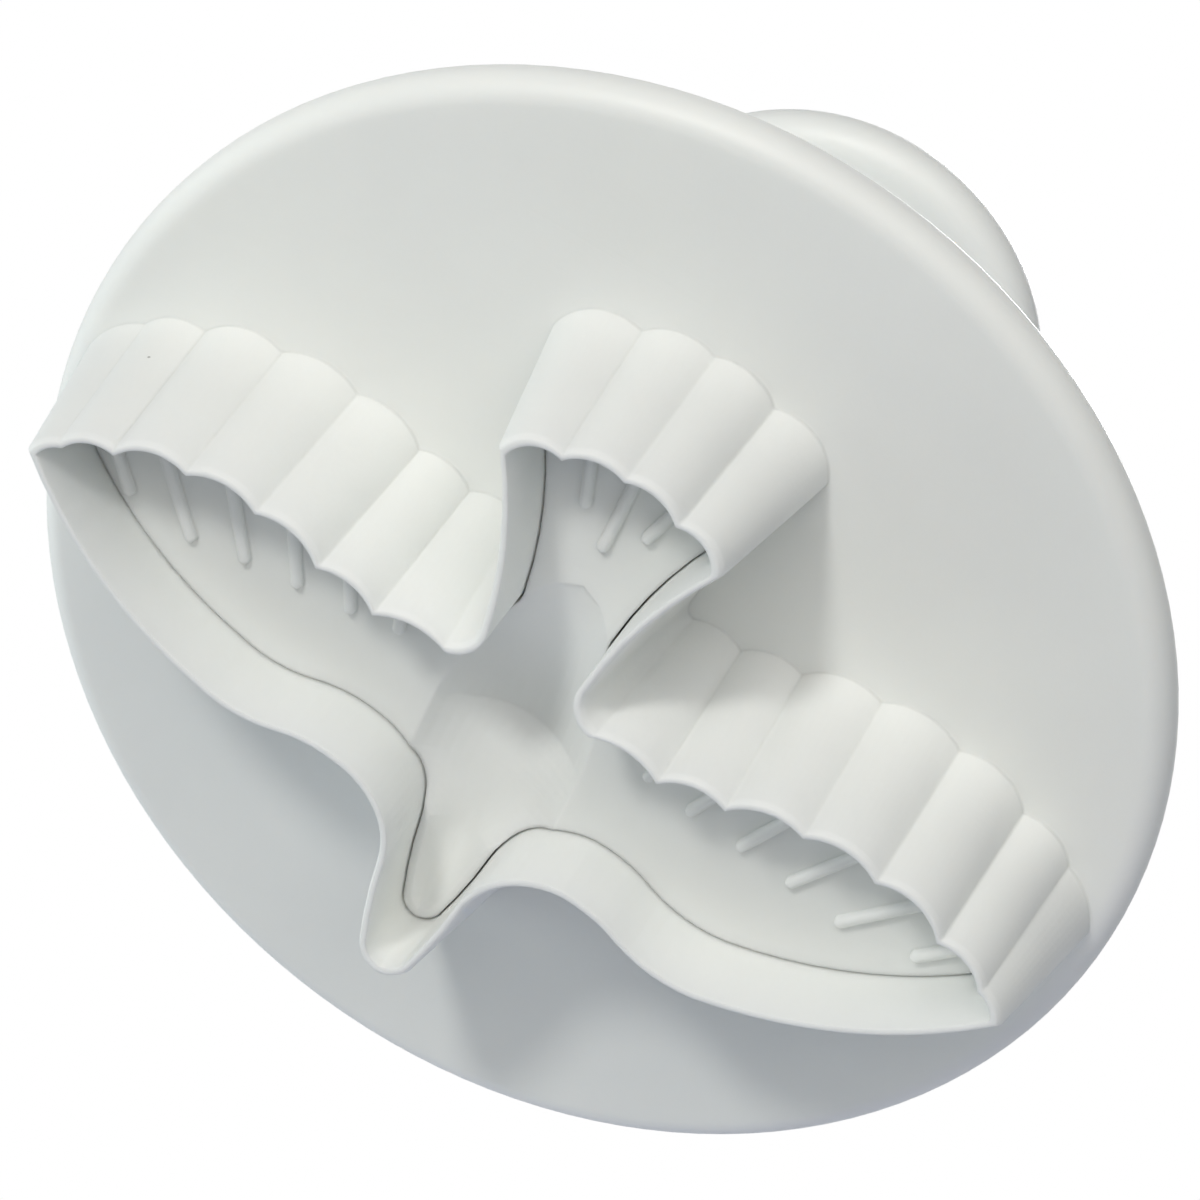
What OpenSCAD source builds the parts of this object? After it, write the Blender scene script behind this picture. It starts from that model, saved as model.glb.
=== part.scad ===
// Dove plunger cutter for rolled icing and pastry.
// The cutting edge lies on z = 0, the knob is up and the bird's tail points along +Y.

/* [Bird] */
// Half of the wingspan, at the cutting edge
wing_reach = 22.6; // [18:0.1:23]
// How far the middle of the tail stands behind the flange's centre
tail_reach = 14.2; // [13.8:0.1:15]
// How far the beak stands before the flange's centre
beak_reach = 13.8; // [13.2:0.1:15]
// Lowest point of each wing's front edge, before the flange's centre
wing_drop = 5.9; // [5.7:0.1:6.6]
// Half of the tail's width at its end
tail_half = 5; // [4.6:0.1:5.6]
// Half of the tail's width at its root
waist_half = 2.5; // [2.2:0.1:3]
// How far the body stands to one side of the flange's centre; the wing tips stay
body_shift = 0.45; // [0:0.05:0.5]
// How far one wing's front edge stands above the mean, and the other's below it
wing_skew = 0.4; // [0:0.05:0.5]

/* [Cutting wall] */
// Depth of the wall, from its edge to the flange
wall_depth = 8.7; // [7:0.1:12]
// Thickness of the wall at its cutting edge
edge_t = 0.35; // [0.3:0.01:0.5]
// How far the wall's outside slopes out on its way to the flange
wall_draft = 1.1; // [0.4:0.05:1.3]
// Rounding on both sides of the cutting edge
edge_round = 0.12; // [0.05:0.01:0.12]

/* [Flange] */
// Diameter of the flange
flange_d = 50; // [49.5:0.5:56]
// Thickness of the flange
flange_t = 1.7; // [1.6:0.1:2.5]
// Radius of the flange's lower rim
flange_r = 1.15; // [0.8:0.05:1.3]

/* [Guide barrel] */
// Outer diameter of the barrel that guides the plunger
barrel_d = 13.6; // [13:0.1:16]
// Thickness of the barrel's wall
barrel_t = 1.4; // [1:0.1:1.5]
// Radius of the fillet at the barrel's foot
barrel_fillet = 1.4; // [0.6:0.1:2]

/* [Plunger] */
// Depth of the embossing face behind the cutting edge, at rest
face_depth = 3.9; // [3:0.1:4.5]
// How far the plate comes out past the cutting edge when it is pressed
eject = 2.1; // [1:0.1:2.5]
// Thickness of the embossing plate
plate_t = 3.2; // [3:0.1:3.4]
// Gap between the plate and the wall, all round
plate_gap = 0.08; // [0.08:0.01:0.2]
// Diameter of the stem
stem_d = 5; // [4:0.1:5.6]
// Running clearance between the stem and its bore, on the radius
stem_gap = 0.08; // [0.04:0.01:0.1]
// Diameter of the boss that stops the plate against the flange
boss_d = 7; // [6.4:0.1:7.1]

/* [Embossing] */
// Width of a feather rib
rib_w = 0.52; // [0.35:0.01:0.6]
// Height of a feather rib
rib_h = 0.42; // [0.2:0.01:0.5]
// Half of the width of the hollow that shapes the body
body_half = 3.4; // [3:0.1:3.6]
// Depth of the body's hollow at the shoulders
body_sink = 2.2; // [1.2:0.1:2.2]
// Depth of the hollow at the neck
neck_sink = 0.8; // [0.6:0.05:1.1]

/* [Knob] */
// Diameter of the knob
knob_d = 22; // [18:0.1:24]
// Height of the knob's underside above the flange's lower face
knob_rise = 29.6; // [26:0.1:32]
// Radius of the knob's rounded rim
knob_rim = 1.3; // [0.7:0.05:1.4]
// Height of the knob's crown over its underside
knob_crown = 4.2; // [3.8:0.1:5]
// Thickness of the wall of the knob's tube
knob_tube_t = 1; // [0.8:0.05:1.2]
// Running clearance between the knob's tube and the barrel, on the radius
tube_gap = 0.1; // [0.06:0.01:0.2]
// Length of the knob's tube that stays inside the barrel at rest
tube_grip = 6; // [4:0.5:7]

/* [Spring] */
// Diameter of the spring's wire
wire_d = 0.7; // [0.5:0.05:0.8]
// Turns of the spring
spring_turns = 7; // [5:1:8]

/* [Hidden] */
white = "#eeeeec";
steel = "#a9adb0";
bite = 0.4;
overcut = 1;
flange_top_r = 0.35;
lip_r = 0.5;
stop_gap = 0.05;
floor_sink = 0.3;
chamfer = 0.3;
flange_z = wall_depth;
flange_top = flange_z + flange_t;
pocket_z = flange_z + floor_sink;
plate_back = face_depth + plate_t;
stroke = face_depth + eject;
knob_z = flange_z + knob_rise;
barrel_top = knob_z - stroke - stop_gap;
tube_od = barrel_d - 2 * barrel_t - 2 * tube_gap;
tube_id = tube_od - 2 * knob_tube_t;
tube_z = barrel_top - tube_grip;
knob_roof_z = knob_z + knob_rim;
socket_wall = 1.2;
stem_top = knob_roof_z + socket_wall;
socket_d = stem_d + 2 * socket_wall;
socket_drop = 3;
crown_flat = 4.5;
rim_end = 62;
crown_steps = 10;
rim_in = knob_rim * cos(rim_end);
rim_up = knob_rim * (1 + sin(rim_end));
round_fn = 96;
arc_step = 6.5;
chord_step = 1.4;

// Bulge of an arc is its height over its chord, positive where it swells out of the bird.
feather = 0.17;
waist_y = 4.5;
root_y = 2.85;
neck_half = waist_half - 0.45;
neck_y = -8.65;
shoulder_half = waist_half + 2.86;
shoulder_y = 0.61 - wing_drop;

// Corners of one half of the bird from the tail to the beak, as [x, y, bulge of the arc that follows].
function half_bird(side) =
    let (drop = wing_drop - side * wing_skew)
    [
        [0, tail_reach, feather],
        [tail_half * 0.53, tail_reach - 0.6, 0.22],
        [tail_half, tail_reach - 1.9, -0.05],
        [waist_half, waist_y, -0.2],
        [waist_half + 1, root_y, 0.14],
        [wing_reach * 0.29, root_y - 0.25, feather],
        [wing_reach * 0.414, root_y + 0.3, feather],
        [wing_reach * 0.556, root_y + 1.1, feather],
        [wing_reach * 0.703, root_y + 1, 0.19],
        [wing_reach * 0.845, root_y, feather],
        [wing_reach * 0.947, root_y - 1.05, 0.12],
        [wing_reach, 0.5, 0.077],
        [wing_reach * 0.531, -drop, 0.078],
        [wing_reach * 0.359, 0.23 - (drop + wing_drop) / 2, -0.062],
        [shoulder_half, shoulder_y, -0.175],
        [neck_half, neck_y, 0.02],
        [1.27, 1.1 - beak_reach, 0.152],
        [0, -beak_reach, 0]
    ];

// A point of one half, put on its side of the bird.
function placed(p, side) = [side * p.x + body_shift * (1 - pow(p.x / wing_reach, 4)), p.y];

// The closed bird: one half, then the other walked back to the tail.
half_a = half_bird(1);
half_b = half_bird(-1);
half_n = len(half_a);
bird = [
    for (i = [0 : half_n - 2]) [each placed(half_a[i], 1), half_a[i][2]],
    for (i = [half_n - 1 : -1 : 1]) [each placed(half_b[i], -1), half_b[i - 1][2]]
];

function xy(p) = [p.x, p.y];
function unit(v) = v / norm(v);
function left_of(v) = [-v.y, v.x];

// Corner i of a clockwise outline, moved out by d square to the sides that meet there.
function corner(shape, i, d) =
    let (
        n = len(shape),
        here = xy(shape[i % n]),
        n1 = left_of(unit(here - xy(shape[(i + n - 1) % n]))),
        n2 = left_of(unit(xy(shape[(i + 1) % n]) - here)),
        middle = unit(n1 + n2)
    )
    here + middle * d / max(middle * n1, 0.75);

// Pieces that the arc after corner i is cut into, the same at every offset.
function pieces(shape, i) =
    let (
        chord = norm(xy(shape[(i + 1) % len(shape)]) - xy(shape[i])),
        turn = 4 * atan(2 * abs(shape[i][2]))
    )
    max(1, ceil(turn / arc_step), ceil(chord / chord_step));

// Points of an arc from a to b with the given bulge, without its end point.
function arc(a, b, bulge, n) =
    abs(bulge) < 0.001
        ? [for (k = [0 : n - 1]) a + (b - a) * k / n]
        : let (
            half = 2 * atan(2 * bulge),
            out = left_of(unit(b - a)),
            r = norm(b - a) / 2 / sin(half),
            centre = (a + b) / 2 - out * r * cos(half)
        )
        [for (k = [0 : n - 1])
            let (t = half * (1 - 2 * k / n))
            centre + r * (out * cos(t) - unit(b - a) * sin(t))];

// Outline of a shape, moved out by d all round.
function outline(shape, d) = [
    for (i = [0 : len(shape) - 1])
        each arc(corner(shape, i, d), corner(shape, i + 1, d), shape[i][2], pieces(shape, i))
];

// Solid through a shape's outline at several levels, given as [z, offset].
module skin(shape, levels) {
    rings = [for (l = levels) [for (p = outline(shape, l[1])) [p.x, p.y, l[0]]]];
    loft(rings);
}

// Solid through closed rings of equal count, each counter-clockwise as seen along the way, with flat ends.
module loft(rings) {
    n = len(rings[0]);
    last = (len(rings) - 1) * n;
    sides = [
        for (i = [0 : len(rings) - 2], k = [0 : n - 1])
            let (a = i * n + k, b = i * n + (k + 1) % n)
            each [[a, b, a + n], [b, b + n, a + n]]
    ];
    ends = [[for (k = [n - 1 : -1 : 0]) k], [for (k = [0 : n - 1]) last + k]];
    polyhedron([for (r = rings) each r], concat(sides, ends));
}

// Profile points of a bend centred on c, from one angle to another.
function bend(c, r, from, to) =
    let (n = ceil(abs(to - from) / arc_step))
    [
        for (k = [0 : n])
            let (a = from + (to - from) * k / n)
            c + r * [cos(a), sin(a)]
    ];

module flange() {
    r = flange_d / 2;
    rotate_extrude($fn = 180) polygon([
        [0, flange_z],
        each bend([r - flange_r, flange_z + flange_r], flange_r, -90, 0),
        each bend([r - flange_top_r, flange_top - flange_top_r], flange_top_r, 0, 90),
        [0, flange_top]
    ]);
}

module barrel() {
    r = barrel_d / 2;
    rotate_extrude($fn = round_fn) polygon([
        [0, flange_top - bite],
        [r + barrel_fillet, flange_top - bite],
        each bend([r + barrel_fillet, flange_top + barrel_fillet], barrel_fillet, 270, 180),
        each bend([r - lip_r, barrel_top - lip_r], lip_r, 0, 90),
        [0, barrel_top]
    ]);
}

module cutter() {
    color(white) difference() {
        union() {
            flange();
            barrel();
            skin(bird, [
                [-2 * edge_round, -2 * edge_round],
                [2 * edge_round, 0],
                [flange_z + bite, wall_draft * (flange_z + bite) / flange_z]
            ]);
        }
        translate([0, 0, -overcut]) cylinder(d = flange_d, h = overcut);
        translate([0, 0, -overcut])
            linear_extrude(overcut + pocket_z) polygon(outline(bird, -edge_t));
        translate([0, 0, flange_z - overcut])
            cylinder(d = stem_d + 2 * stem_gap, h = flange_t + 2 * overcut, $fn = round_fn);
        translate([0, 0, flange_top])
            cylinder(d = barrel_d - 2 * barrel_t, h = barrel_top, $fn = round_fn);
    }
}

// Feather rib with a half-round back, from a scallop's valley p to its round inner end q.
module rib(p, q) {
    r = rib_w / 2;
    top = face_depth - rib_h + r;
    along = q - p;
    translate([p.x, p.y, top]) rotate([0, 0, atan2(along.y, along.x)]) {
        rotate([0, 90, 0]) cylinder(r = r, h = norm(along), $fn = 32);
        translate([norm(along), 0, 0]) sphere(r = r, $fn = 32);
        translate([norm(along), 0, 0]) cylinder(r = r, h = rib_h, $fn = 32);
        translate([0, -r, 0]) cube([norm(along), rib_w, rib_h]);
    }
}

// Inner ends of the ribs, for the valleys from the tail to the wing's tip.
tail_rib = [tail_half * 0.284, 9.6];
middle_rib = [0, 8.2];
wing_ribs = [[0.262, -0.45], [0.358, -0.85], [0.467, -1.1], [0.575, -1.4], [0.684, -1.85], [0.827, -1.4]];
first_wing_valley = 5;
rib_inset = edge_t + plate_gap + rib_w / 2;

function valley(i, side) = corner(bird, side > 0 ? i : len(bird) - i, -rib_inset);

module ribs() {
    rib(valley(0, 1), placed(middle_rib, 1));
    for (side = [-1, 1]) {
        rib(valley(1, side), placed(tail_rib, side));
        for (i = [0 : len(wing_ribs) - 1]) {
            inner = [wing_ribs[i].x * wing_reach, wing_ribs[i].y];
            rib(valley(first_wing_valley + i, side), placed(inner, side));
        }
    }
}

// The body's hollow is widest and deepest at one place. It starts in a point at the tail and runs out as a
// narrow trough along the neck and head.
hollow_end = 5.9;
hollow_deepest = -2.6;
trough_end = 0.9 - beak_reach;
trough_half = neck_half - edge_t - plate_gap - 0.35;
least = 0.05;

function share(y, from, to) = max(0, min(1, (y - from) / (to - from)));
function eased(t) = t * t * (3 - 2 * t);

// Half width and depth of the hollow, at a place along the bird.
function hollow_half(y) =
    let (
        body = body_half * sqrt(1 - pow(share(y, hollow_deepest, hollow_end), 1.5)),
        trough = trough_half * sqrt(share(y, trough_end, neck_y))
    )
    least + trough + (body - trough) * eased(share(y, neck_y, shoulder_y));
function hollow_sink(y) =
    y > hollow_deepest
        ? least + body_sink * (1 - share(y, hollow_deepest, hollow_end))
        : least + (neck_sink + (body_sink - neck_sink) * exp((y - hollow_deepest) * 0.45))
            * sqrt(share(y, trough_end, neck_y));

// The hollow of the body, neck and head, as a loft along the bird.
module hollow() {
    steps = 40;
    across = 14;
    lid = 1.2;
    loft([for (i = [0 : steps])
        let (
            y = hollow_end + (trough_end - hollow_end) * i / steps,
            w = hollow_half(y),
            deep = hollow_sink(y)
        )
        [
            [body_shift + w, y, face_depth - lid],
            [body_shift - w, y, face_depth - lid],
            for (k = [0 : across])
                let (u = 2 * k / across - 1)
                [body_shift + u * w, y, face_depth + deep * (1 - u * u)]
        ]
    ]);
}

module embossing_plate() {
    fit = edge_t + plate_gap;
    color(white) {
        difference() {
            union() {
                translate([0, 0, face_depth])
                    linear_extrude(plate_t) polygon(outline(bird, -fit));
                intersection() {
                    ribs();
                    linear_extrude(plate_back) polygon(outline(bird, -fit));
                }
            }
            hollow();
        }
        rotate_extrude($fn = round_fn) polygon([
            [0, plate_back - bite],
            [boss_d / 2, plate_back - bite],
            [boss_d / 2, pocket_z - stop_gap],
            [stem_d / 2, pocket_z - stop_gap],
            [stem_d / 2, stem_top - chamfer],
            [stem_d / 2 - chamfer, stem_top],
            [0, stem_top]
        ]);
    }
}

// Round wire along a helix whose end turns are closed up to a small gap.
spring_low = flange_top + wire_d / 2;
spring_high = tube_z - wire_d / 2;
spring_r = (tube_od - wire_d) / 2 - tube_gap;
end_pitch = wire_d + 0.45;
rings_per_turn = 8;
wire_sides = 6;

function coil_z(t) =
    t < 1 ? spring_low + end_pitch * t
    : t > spring_turns - 1 ? spring_high - end_pitch * (spring_turns - t)
    : spring_low + end_pitch
        + (spring_high - spring_low - 2 * end_pitch) * (t - 1) / (spring_turns - 2);
coil = [
    for (i = [0 : spring_turns * rings_per_turn])
        let (t = i / rings_per_turn)
        [spring_r * cos(360 * t), spring_r * sin(360 * t), coil_z(t)]
];

// Least gap of the wire to itself, between points at least half a turn apart.
coil_gap = min([
    for (i = [0 : len(coil) - 1], k = [i + rings_per_turn / 2 : 1 : len(coil) - 1])
        norm(coil[i] - coil[k])
]) - wire_d;
echo(spring_least_gap = coil_gap);

module return_spring() {
    color(steel) loft([
        for (i = [0 : len(coil) - 1])
            let (a = 360 * i / rings_per_turn, out = [cos(a), sin(a), 0])
            [for (k = [0 : wire_sides - 1])
                let (b = 30 + 360 * k / wire_sides)
                coil[i] + wire_d / 2 * (out * cos(b) + [0, 0, sin(b)])]
    ]);
}

module knob() {
    r = knob_d / 2;
    color(white) difference() {
        union() {
            rotate_extrude($fn = round_fn * 1.5) polygon([
                [0, knob_z],
                each bend([r - knob_rim, knob_z + knob_rim], knob_rim, -90, rim_end),
                for (k = [1 : crown_steps])
                    let (t = k / crown_steps)
                    [crown_flat + (r - knob_rim + rim_in - crown_flat) * (1 - t),
                     knob_z + rim_up + (knob_crown - rim_up) * sin(90 * t)],
                [0, knob_z + knob_crown]
            ]);
            translate([0, 0, tube_z])
                cylinder(d = tube_od, h = knob_z - tube_z + bite, $fn = round_fn);
        }
        translate([0, 0, tube_z - overcut])
            cylinder(d = tube_id, h = knob_z - tube_z + overcut - socket_drop, $fn = round_fn);
        difference() {
            translate([0, 0, knob_z - socket_drop - overcut])
                cylinder(d = tube_id, h = socket_drop + overcut + knob_rim, $fn = round_fn);
            translate([0, 0, knob_z - socket_drop])
                cylinder(d = socket_d, h = socket_drop + 2, $fn = round_fn);
        }
        translate([0, 0, tube_z - overcut])
            cylinder(d = stem_d, h = stem_top - tube_z + overcut, $fn = round_fn);
    }
}

cutter();
embossing_plate();
return_spring();
knob();
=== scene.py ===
"""Looks for a dove plunger cutter: moulded white plastic, a steel return spring, and a plain white studio.

Lengths are in metres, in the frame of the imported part: the cutting edge lies on z = 0 and the knob is up.
"""

import math

import bpy
from bpy.props import FloatProperty, FloatVectorProperty, IntProperty, PointerProperty
from mathutils import Euler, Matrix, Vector


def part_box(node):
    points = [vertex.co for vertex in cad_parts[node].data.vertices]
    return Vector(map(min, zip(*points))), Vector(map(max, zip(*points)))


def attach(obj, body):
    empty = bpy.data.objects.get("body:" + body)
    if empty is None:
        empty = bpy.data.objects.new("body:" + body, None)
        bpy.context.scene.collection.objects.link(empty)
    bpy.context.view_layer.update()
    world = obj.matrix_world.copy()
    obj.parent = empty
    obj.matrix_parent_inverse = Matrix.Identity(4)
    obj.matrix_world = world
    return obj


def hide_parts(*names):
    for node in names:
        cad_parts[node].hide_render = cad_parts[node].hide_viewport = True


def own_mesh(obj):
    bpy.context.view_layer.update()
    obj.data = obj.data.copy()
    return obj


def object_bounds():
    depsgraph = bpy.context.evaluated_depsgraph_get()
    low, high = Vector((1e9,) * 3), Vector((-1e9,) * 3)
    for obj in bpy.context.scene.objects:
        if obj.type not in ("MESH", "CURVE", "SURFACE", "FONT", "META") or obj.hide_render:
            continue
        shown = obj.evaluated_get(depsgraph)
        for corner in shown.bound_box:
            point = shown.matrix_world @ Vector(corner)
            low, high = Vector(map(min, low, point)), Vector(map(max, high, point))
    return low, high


bl_info = {
    "name": "Dove Plunger Cutter",
    "version": (1, 0, 0),
    "blender": (4, 5, 0),
    "location": "3D Viewport > Sidebar > Cutter",
    "description": "Dresses a dove plunger cutter in moulded plastic and lights it",
    "category": "Object",
}

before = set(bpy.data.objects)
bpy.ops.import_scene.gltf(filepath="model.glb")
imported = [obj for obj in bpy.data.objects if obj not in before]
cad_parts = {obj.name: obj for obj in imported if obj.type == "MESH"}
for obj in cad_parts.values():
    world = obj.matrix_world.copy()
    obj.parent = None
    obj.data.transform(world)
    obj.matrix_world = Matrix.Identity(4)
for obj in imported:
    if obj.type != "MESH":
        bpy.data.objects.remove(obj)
CAD_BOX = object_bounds()
SPRING_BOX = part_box("return_spring")
MM = 0.001


class PlasticFinish(bpy.types.PropertyGroup):
    """Colour and surface of the three white mouldings."""

    tone: FloatVectorProperty(
        name="Plastic", description="Colour of the clean white plastic",
        default=(0.84, 0.855, 0.835), size=3, subtype="COLOR", min=0, max=1)
    shade: FloatVectorProperty(
        name="Handled plastic", description="Colour where handling has dulled the plastic",
        default=(0.80, 0.815, 0.80), size=3, subtype="COLOR", min=0, max=1)
    speck: FloatVectorProperty(
        name="Specks", description="Colour of the small dark specks in the plastic",
        default=(0.20, 0.19, 0.18), size=3, subtype="COLOR", min=0, max=1)
    roughness: FloatProperty(
        name="Roughness", description="Roughness of the satin surface",
        default=0.42, min=0, max=1, subtype="FACTOR")
    grain: FloatProperty(
        name="Grain", description="Size of the mould's fine grain",
        default=0.25 * MM, min=0.02 * MM, max=2 * MM, unit="LENGTH")
    softness: FloatProperty(
        name="Edge softness", description="Radius by which the mould's edges look rounded",
        default=0.2 * MM, min=0, max=0.5 * MM, unit="LENGTH")
    glow: FloatProperty(
        name="Translucency", description="Share of the light that passes through the plastic's skin",
        default=0.6, min=0, max=1, subtype="FACTOR")


class SpringSizes(bpy.types.PropertyGroup):
    """Sizes of the return spring round the stem."""

    wire: FloatProperty(
        name="Wire", description="Diameter of the spring's wire",
        default=0.7 * MM, min=0.3 * MM, max=1 * MM, unit="LENGTH")
    turns: IntProperty(
        name="Turns", description="Turns of the spring, the two closed end turns included",
        default=7, min=4, max=9)
    end_pitch: FloatProperty(
        name="End pitch", description="Rise of each closed end turn",
        default=1.15 * MM, min=0.8 * MM, max=2 * MM, unit="LENGTH")
    steel: FloatVectorProperty(
        name="Steel", description="Colour of the drawn wire",
        default=(0.60, 0.61, 0.62), size=3, subtype="COLOR", min=0, max=1)


class StudioSettings(bpy.types.PropertyGroup):
    """The floor, the lamps and the camera."""

    floor_side: FloatProperty(
        name="Floor", description="Side of the square floor",
        default=4, min=1, max=10, unit="LENGTH")
    floor_tone: FloatVectorProperty(
        name="Floor colour", description="Colour of the floor",
        default=(0.93, 0.93, 0.93), size=3, subtype="COLOR", min=0, max=1)
    sky: FloatProperty(
        name="Room light", description="Strength of the even light from the white room",
        default=0.2, min=0, max=2)
    sky_tone: FloatVectorProperty(
        name="Room colour", description="Colour of the room light, a cool white",
        default=(0.86, 0.94, 1), size=3, subtype="COLOR", min=0, max=1)
    key: FloatProperty(
        name="Key lamp", description="Power of the small warm lamp at the upper left of the view",
        default=0.515, min=0, max=10, unit="POWER")
    front: FloatProperty(
        name="Front lamp", description="Power of the soft lamp a little above the camera",
        default=0.715, min=0, max=10, unit="POWER")
    left: FloatProperty(
        name="Left lamp", description="Power of the soft cool lamp at the left, a little behind the cutter",
        default=0.84, min=0, max=10, unit="POWER")
    low: FloatProperty(
        name="Low lamp", description="Power of the soft lamp below the view, a little behind the cutter",
        default=0.375, min=0, max=10, unit="POWER")
    overhead: FloatProperty(
        name="Overhead lamp", description="Power of the lamp high above the knob",
        default=6.5, min=0, max=20, unit="POWER")
    lens: FloatProperty(
        name="Lens", description="Focal length on a 36 mm sensor, in millimetres",
        default=135, min=20, max=300)
    camera_place: FloatVectorProperty(
        name="Camera place", description="Where the camera stands, under the cutting edge",
        default=(-0.01473503, 0.10962769, -0.14134646), size=3, subtype="TRANSLATION")
    camera_turn: FloatVectorProperty(
        name="Camera turn", description="Turn of the camera about X, Y and Z",
        default=tuple(math.radians(a) for a in (150.00731632, -20.57972919, 156.51843108)),
        size=3, subtype="EULER")


class NodeSheet:
    """Short way to lay out and join the nodes of one tree."""

    def __init__(self, tree):
        self.tree = tree
        self.tree.nodes.clear()

    def add(self, kind, settings=None, **inputs):
        """Adds a node, sets its own settings, and sets or joins its inputs.

        An input is given by its name, with _ for a space, or as i and its number.
        """
        node = self.tree.nodes.new(kind)
        for key, value in (settings or {}).items():
            setattr(node, key, value)
        for key, value in inputs.items():
            socket = node.inputs[int(key[1:]) if key[1:].isdigit() else key.replace("_", " ")]
            if isinstance(value, bpy.types.NodeSocket):
                self.tree.links.new(value, socket)
            else:
                socket.default_value = value
        return node

    def mix(self, share, first, second):
        """Blends two colours."""
        return self.add("ShaderNodeMix", {"data_type": "RGBA"}, Factor=share, i6=first, i7=second).outputs[2]

    def math(self, operation, first, second, third=0.0):
        """Works one value out of two or three."""
        return self.add("ShaderNodeMath", {"operation": operation}, i0=first, i1=second, i2=third).outputs[0]

    def spread(self, value, **limits):
        """Maps a value from one range on to another."""
        return self.add("ShaderNodeMapRange", Value=value, **limits).outputs[0]


def new_material(name):
    material = bpy.data.materials.new(name)
    material.use_nodes = True
    return material, NodeSheet(material.node_tree)


def rgba(colour, share=1.0):
    return (*(c * share for c in colour), 1)


# Patterns of the plastic: how many repeats there are to the metre, and how much of each shows.
PATCHES_PER_M = 70
PATCHES_FROM, PATCHES_TO = 0.35, 0.7
SPECK_CELLS_PER_M = 190
SPECK_CELLS_LEFT_OUT = 0.9
SPECK_REACH = 0.028
SPECK_STRENGTH = 0.6
SCRATCHES_PER_M = 90
SCRATCHES_FROM, SCRATCHES_TO = 0.7, 0.76
SCRATCH_TURN = (0.3, 0.5, 0.9)
SCRATCH_STRETCH = (1, 14, 6)
SCRATCH_DEPTH = -0.6
SCRATCH_ROUGHNESS = 0.12
PATCH_ROUGHNESS = 0.08
RELIEF_STRENGTH = 0.12
RELIEF_HEIGHT = 0.05 * MM
SKIN_DEPTH = 0.8 * MM

# Where the patterns start on a piece, so that no two pieces carry the same marks.
CUTTER_START = (0, 0, 0)
PLATE_START = (0.11, 0.07, 0.03)
KNOB_START = (0.23, 0.17, 0.05)

# Patterns of the steel.
TARNISH_PER_M = 350
DRAWN_LINES_PER_M = 600
DRAWN_LINE_HEIGHT = 0.01 * MM
DRAWN_LINE_STRENGTH = 0.2
DRAW_STRETCH = (1, 1, 30)
STEEL_SMOOTHEST, STEEL_ROUGHEST = 0.22, 0.42


def satin_plastic(name, finish, offset):
    """Moulded plastic: a fine satin grain, dulled patches, hairline scratches and a few dark specks."""
    material, sheet = new_material(name)
    add = sheet.add
    place = add("ShaderNodeTexCoord").outputs["Object"]
    spot = add("ShaderNodeMapping", i0=place, Location=offset).outputs[0]

    patches = add("ShaderNodeTexNoise", Vector=spot, Scale=PATCHES_PER_M, Detail=3).outputs["Fac"]
    patches = sheet.spread(patches, From_Min=PATCHES_FROM, From_Max=PATCHES_TO)
    colour = sheet.mix(patches, rgba(finish.tone), rgba(finish.shade))

    # Specks: one small spot in some of the cells, each of its own size.
    cells = add("ShaderNodeTexVoronoi", Vector=spot, Scale=SPECK_CELLS_PER_M)
    chance = add("ShaderNodeSeparateColor", Color=cells.outputs["Color"]).outputs[0]
    reach = sheet.spread(chance, From_Min=SPECK_CELLS_LEFT_OUT, From_Max=1, To_Min=0, To_Max=SPECK_REACH)
    speck = sheet.math("LESS_THAN", cells.outputs["Distance"], reach)
    speck = sheet.math("MULTIPLY", speck, SPECK_STRENGTH)
    colour = sheet.mix(speck, colour, rgba(finish.speck))

    # Hairline scratches: a stretched noise, cut to its thinnest crests.
    drawn = add("ShaderNodeMapping", i0=spot, Rotation=SCRATCH_TURN, Scale=SCRATCH_STRETCH).outputs[0]
    lines = add("ShaderNodeTexNoise", Vector=drawn, Scale=SCRATCHES_PER_M, Detail=2).outputs["Fac"]
    crest = sheet.spread(lines, From_Min=SCRATCHES_FROM, From_Max=SCRATCHES_TO)

    # Grain and scratches in the relief, and the dulled patches and the scratches in the roughness.
    grain = add("ShaderNodeTexNoise", Vector=spot, Scale=1 / finish.grain, Detail=3, Roughness=0.6)
    height = sheet.math("MULTIPLY_ADD", crest, SCRATCH_DEPTH, grain.outputs["Fac"])
    edge = add("ShaderNodeBevel", {"samples": 4}, Radius=finish.softness).outputs[0]
    relief = add("ShaderNodeBump", Height=height, Strength=RELIEF_STRENGTH, Distance=RELIEF_HEIGHT,
                 Normal=edge).outputs[0]
    rough = sheet.spread(patches, To_Min=finish.roughness, To_Max=finish.roughness + PATCH_ROUGHNESS)
    rough = sheet.math("MULTIPLY_ADD", crest, SCRATCH_ROUGHNESS, rough)

    shader = add("ShaderNodeBsdfPrincipled", Base_Color=colour, Roughness=rough, Normal=relief, IOR=1.5,
                 Subsurface_Weight=finish.glow, Subsurface_Radius=(1, 0.95, 0.9), Subsurface_Scale=SKIN_DEPTH)
    add("ShaderNodeOutputMaterial", Surface=shader.outputs[0])
    return material


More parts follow.
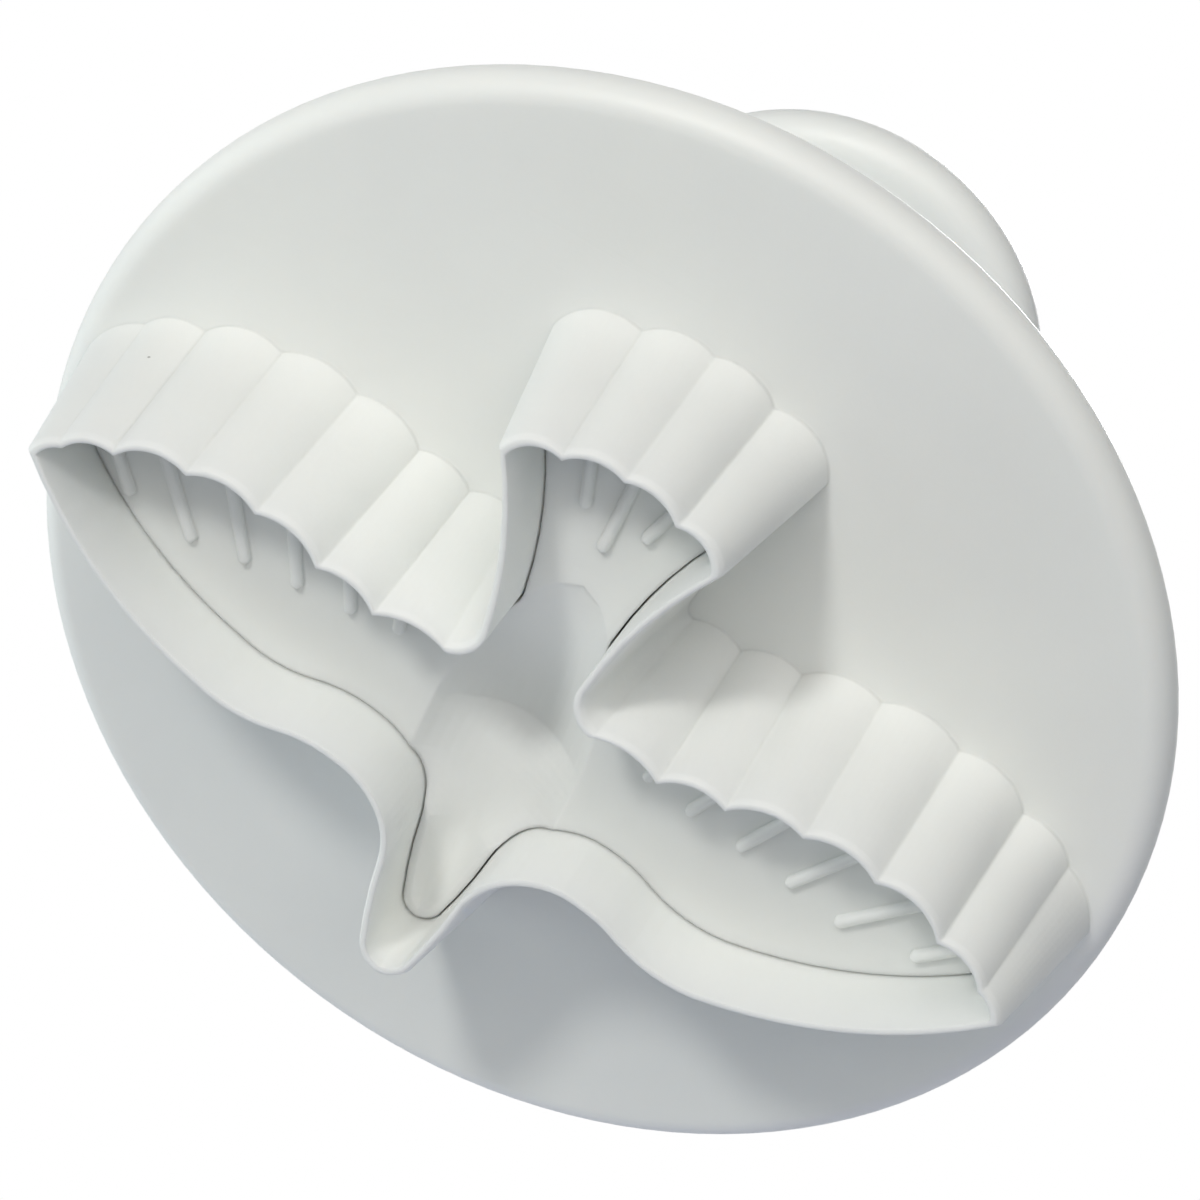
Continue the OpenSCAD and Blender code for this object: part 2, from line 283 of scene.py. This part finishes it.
def drawn_steel(name, colour):
    """Spring steel: bright wire with fine lines along the draw and a little tarnish."""
    material, sheet = new_material(name)
    add = sheet.add
    place = add("ShaderNodeTexCoord").outputs["Object"]
    tarnish = add("ShaderNodeTexNoise", Vector=place, Scale=TARNISH_PER_M, Detail=4).outputs["Fac"]
    colour = sheet.mix(tarnish, rgba(colour), rgba(colour, 0.7))
    along = add("ShaderNodeMapping", i0=place, Scale=DRAW_STRETCH).outputs[0]
    lines = add("ShaderNodeTexNoise", Vector=along, Scale=DRAWN_LINES_PER_M, Detail=2).outputs["Fac"]
    relief = add("ShaderNodeBump", Height=lines, Strength=DRAWN_LINE_STRENGTH,
                 Distance=DRAWN_LINE_HEIGHT).outputs[0]
    rough = sheet.spread(tarnish, To_Min=STEEL_SMOOTHEST, To_Max=STEEL_ROUGHEST)
    shader = add("ShaderNodeBsdfPrincipled", Base_Color=colour, Roughness=rough, Normal=relief, Metallic=1)
    add("ShaderNodeOutputMaterial", Surface=shader.outputs[0])
    return material


def dress(node, material):
    """Gives a CAD node one material, in its own slots."""
    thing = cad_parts[node]
    if not thing.material_slots:
        thing.data.materials.append(material)
    for slot in thing.material_slots:
        slot.material = material


class CUTTER_OT_dress_cutter(bpy.types.Operator):
    """Dresses the flange, the cutting wall and the guide barrel, which are one moulding"""

    bl_idname = "plunger_cutter.dress_cutter"
    bl_label = "Dress Cutter"

    def execute(self, context):
        finish = context.scene.plastic_finish
        dress("cutter", satin_plastic("cutter plastic", finish, CUTTER_START))
        return {"FINISHED"}


class CUTTER_OT_dress_plate(bpy.types.Operator):
    """Dresses the embossing plate and its stem"""

    bl_idname = "plunger_cutter.dress_plate"
    bl_label = "Dress Embossing Plate"

    def execute(self, context):
        finish = context.scene.plastic_finish
        dress("embossing_plate", satin_plastic("plate plastic", finish, PLATE_START))
        return {"FINISHED"}


class CUTTER_OT_dress_knob(bpy.types.Operator):
    """Dresses the knob and its tube"""

    bl_idname = "plunger_cutter.dress_knob"
    bl_label = "Dress Knob"

    def execute(self, context):
        finish = context.scene.plastic_finish
        dress("knob", satin_plastic("knob plastic", finish, KNOB_START))
        return {"FINISHED"}


POINTS_PER_TURN = 48
WIRE_SIDES = 16


def spring_tree(material):
    """Geometry Nodes for a compression spring: a helix with closed end turns, swept with round wire."""
    tree = bpy.data.node_groups.new("Compression spring", "GeometryNodeTree")
    face = tree.interface
    sockets = {}
    for name in ("Wire", "Coil Radius", "Turns", "Low", "High", "End Pitch"):
        kind = "NodeSocketInt" if name == "Turns" else "NodeSocketFloat"
        sockets[name] = face.new_socket(name, in_out="INPUT", socket_type=kind)
    face.new_socket("Geometry", in_out="OUTPUT", socket_type="NodeSocketGeometry")
    sheet = NodeSheet(tree)
    add = sheet.add
    given = add("NodeGroupInput").outputs

    def sum_of(a, b):
        return sheet.math("ADD", a, b)

    def less(a, b):
        return sheet.math("SUBTRACT", a, b)

    def times(a, b):
        return sheet.math("MULTIPLY", a, b)

    path = add("GeometryNodeCurveSpiral", Resolution=POINTS_PER_TURN, Rotations=given["Turns"], Height=0.0,
               Start_Radius=given["Coil Radius"], End_Radius=given["Coil Radius"]).outputs[0]
    turned = times(add("GeometryNodeSplineParameter").outputs["Factor"], given["Turns"])
    inner = less(given["Turns"], 2.0)
    rise = less(less(given["High"], given["Low"]), times(given["End Pitch"], 2.0))
    middle_pitch = sheet.math("DIVIDE", rise, inner)
    first = add("ShaderNodeClamp", Value=turned, Min=0, Max=1).outputs[0]
    middle = add("ShaderNodeClamp", Value=less(turned, 1.0), Min=0, Max=inner).outputs[0]
    last = add("ShaderNodeClamp", Value=less(less(turned, 1.0), inner), Min=0, Max=1).outputs[0]
    height = sum_of(times(sum_of(first, last), given["End Pitch"]), times(middle, middle_pitch))
    level = add("ShaderNodeCombineXYZ", Z=sum_of(height, given["Low"])).outputs[0]
    path = add("GeometryNodeSetPosition", Geometry=path, Offset=level).outputs[0]
    ring = add("GeometryNodeCurvePrimitiveCircle", Resolution=WIRE_SIDES,
               Radius=times(given["Wire"], 0.5)).outputs[0]
    wire = add("GeometryNodeCurveToMesh", Curve=path, Profile_Curve=ring, Fill_Caps=True).outputs[0]
    wire = add("GeometryNodeSetShadeSmooth", Geometry=wire).outputs[0]
    wire = add("GeometryNodeRealizeInstances", Geometry=wire).outputs[0]
    wire = add("GeometryNodeSetMaterial", Geometry=wire, Material=material).outputs[0]
    add("NodeGroupOutput", Geometry=wire)
    return tree, sockets


def grow(name, tree, sockets, values):
    """Runs a Geometry Nodes tree with the given inputs, and returns its result as a plain mesh object."""
    seed = bpy.data.objects.new(name + " seed", bpy.data.meshes.new(name + " seed"))
    bpy.context.scene.collection.objects.link(seed)
    modifier = seed.modifiers.new("Shape", "NODES")
    modifier.node_group = tree
    for key, value in values.items():
        modifier[sockets[key].identifier] = value
    ready = seed.evaluated_get(bpy.context.evaluated_depsgraph_get())
    mesh = bpy.data.meshes.new_from_object(ready)
    mesh.name = name
    bpy.data.objects.remove(seed)
    piece = bpy.data.objects.new(name, mesh)
    bpy.context.scene.collection.objects.link(piece)
    return piece


class CUTTER_OT_wind_spring(bpy.types.Operator):
    """Winds the return spring round the stem, with closed end turns"""

    bl_idname = "plunger_cutter.wind_spring"
    bl_label = "Wind Spring"

    def execute(self, context):
        sizes = context.scene.spring_sizes
        steel = drawn_steel("spring steel", sizes.steel)
        tree, sockets = spring_tree(steel)
        low, high = SPRING_BOX
        spring = grow("spring_wire", tree, sockets, {
            "Wire": sizes.wire,
            "Coil Radius": high.x - sizes.wire / 2,
            "Turns": sizes.turns,
            "Low": low.z + sizes.wire / 2,
            "High": high.z - sizes.wire / 2,
            "End Pitch": sizes.end_pitch,
        })
        if not spring.data.polygons:
            raise RuntimeError("the spring has no faces")
        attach(spring, "cutter_body")
        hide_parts("return_spring")
        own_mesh(spring)
        dress("return_spring", steel)
        return {"FINISHED"}


# Lamps as: setting with the power, degrees off the line of sight, degrees round it, distance, size, colour.
LAMPS = [
    ("key", 30, 130, 0.4, 0.06, (1, 0.99, 0.945)),
    ("front", 20, 75, 0.4, 0.4, (1, 0.945, 0.9)),
    ("left", 100, 180, 0.4, 0.5, (0.92, 1, 0.995)),
    ("low", 100, 270, 0.4, 0.5, (0.705, 0.725, 1)),
]

# The lamp high above the knob.
OVERHEAD_DIRECTION = (-0.12, -0.16, 0.98)
OVERHEAD_DISTANCE = 1.0
OVERHEAD_SIZE = 0.25
OVERHEAD_TONE = (1, 1, 1)

FLOOR_GAP = 0.02 * MM


class CUTTER_OT_build_stage(bpy.types.Operator):
    """Builds the white floor and room, and hangs the lamps"""

    bl_idname = "plunger_cutter.build_stage"
    bl_label = "Build Stage"

    def execute(self, context):
        studio = context.scene.studio
        self.lay_floor(context, studio)
        self.light_room(context, studio)
        turn = Euler(studio.camera_turn).to_matrix()
        for name, off, around, distance, size, tone in LAMPS:
            around = math.radians(around)
            off = math.radians(off)
            side = math.sin(off)
            direction = Vector((side * math.cos(around), side * math.sin(around), math.cos(off)))
            self.hang(context, name, turn @ direction, distance, getattr(studio, name), size, tone)
        self.hang(context, "overhead", Vector(OVERHEAD_DIRECTION), OVERHEAD_DISTANCE, studio.overhead,
                  OVERHEAD_SIZE, OVERHEAD_TONE)
        return {"FINISHED"}

    def lay_floor(self, context, studio):
        """A floor that shows from above only, so that the camera under the cutting edge looks past it."""
        half = studio.floor_side / 2
        mesh = bpy.data.meshes.new("floor")
        corners = [(-half, -half, 0), (half, -half, 0), (half, half, 0), (-half, half, 0)]
        mesh.from_pydata(corners, [], [(0, 1, 2, 3)])
        floor = bpy.data.objects.new("floor", mesh)
        floor.location.z = CAD_BOX[0].z - FLOOR_GAP
        context.scene.collection.objects.link(floor)
        material, sheet = new_material("floor paint")
        add = sheet.add
        top = add("ShaderNodeBsdfDiffuse", Color=rgba(studio.floor_tone)).outputs[0]
        under = add("ShaderNodeBsdfTransparent").outputs[0]
        side = add("ShaderNodeNewGeometry").outputs["Backfacing"]
        surface = add("ShaderNodeMixShader", i0=side, i1=top, i2=under).outputs[0]
        add("ShaderNodeOutputMaterial", Surface=surface)
        mesh.materials.append(material)
        floor.visible_shadow = False
        floor.visible_diffuse = False
        floor.visible_glossy = False

    def light_room(self, context, studio):
        """An even room light, which the camera and the gloss see as plain white."""
        world = bpy.data.worlds.new("white room")
        context.scene.world = world
        world.use_nodes = True
        sheet = NodeSheet(world.node_tree)
        add = sheet.add
        ray = add("ShaderNodeLightPath").outputs
        seen = sheet.math("MAXIMUM", ray["Is Camera Ray"], ray["Is Transmission Ray"])
        seen = sheet.math("MAXIMUM", seen, ray["Is Glossy Ray"])
        light = add("ShaderNodeBackground", Color=rgba(studio.sky_tone), Strength=studio.sky).outputs[0]
        white = add("ShaderNodeBackground", Color=(1, 1, 1, 1), Strength=1).outputs[0]
        both = add("ShaderNodeMixShader", i0=seen, i1=light, i2=white).outputs[0]
        add("ShaderNodeOutputWorld", Surface=both)

    def hang(self, context, name, direction, distance, power, size, tone):
        """Hangs a round lamp that faces the middle of the cutter."""
        data = bpy.data.lights.new(name + " lamp", "AREA")
        data.shape = "DISK"
        data.size = size
        data.energy = power
        data.color = tone
        lamp = bpy.data.objects.new(name + " lamp", data)
        lamp.location = (CAD_BOX[0] + CAD_BOX[1]) / 2 + direction.normalized() * distance
        lamp.rotation_euler = direction.to_track_quat("Z", "Y").to_euler()
        context.scene.collection.objects.link(lamp)


class CUTTER_OT_place_camera(bpy.types.Operator):
    """Puts the camera where it looks up at the cutting side"""

    bl_idname = "plunger_cutter.place_camera"
    bl_label = "Place Camera"

    def execute(self, context):
        studio = context.scene.studio
        data = bpy.data.cameras.new("camera")
        data.lens = studio.lens
        data.sensor_width = 36
        data.clip_start = 5 * MM
        camera = bpy.data.objects.new("camera", data)
        camera.location = studio.camera_place
        camera.rotation_euler = studio.camera_turn
        context.scene.collection.objects.link(camera)
        context.scene.camera = camera
        return {"FINISHED"}


STEPS = [
    CUTTER_OT_place_camera,
    CUTTER_OT_dress_cutter,
    CUTTER_OT_dress_plate,
    CUTTER_OT_dress_knob,
    CUTTER_OT_wind_spring,
    CUTTER_OT_build_stage,
]


class CUTTER_PT_sidebar(bpy.types.Panel):
    """Lists the steps that dress the cutter, and their sizes and colours"""

    bl_idname = "CUTTER_PT_sidebar"
    bl_label = "Dove Plunger Cutter"
    bl_space_type = "VIEW_3D"
    bl_region_type = "UI"
    bl_category = "Cutter"

    def draw(self, context):
        for group in GROUPS:
            settings = getattr(context.scene, group)
            column = self.layout.column(align=True)
            for name in settings.bl_rna.properties.keys():
                if name not in ("rna_type", "name"):
                    column.prop(settings, name)
        for step in STEPS:
            self.layout.operator(step.bl_idname)


GROUPS = {"plastic_finish": PlasticFinish, "spring_sizes": SpringSizes, "studio": StudioSettings}


def register():
    for item in (*GROUPS.values(), *STEPS, CUTTER_PT_sidebar):
        bpy.utils.register_class(item)
    for name, group in GROUPS.items():
        setattr(bpy.types.Scene, name, PointerProperty(type=group))


def unregister():
    for name in GROUPS:
        delattr(bpy.types.Scene, name)
    for item in (CUTTER_PT_sidebar, *reversed(STEPS), *reversed(GROUPS.values())):
        bpy.utils.unregister_class(item)


def main():
    register()
    bpy.context.scene.view_settings.view_transform = "Standard"
    for step in STEPS:
        area, name = step.bl_idname.split(".")
        getattr(getattr(bpy.ops, area), name)()


if __name__ == "__main__":
    main()
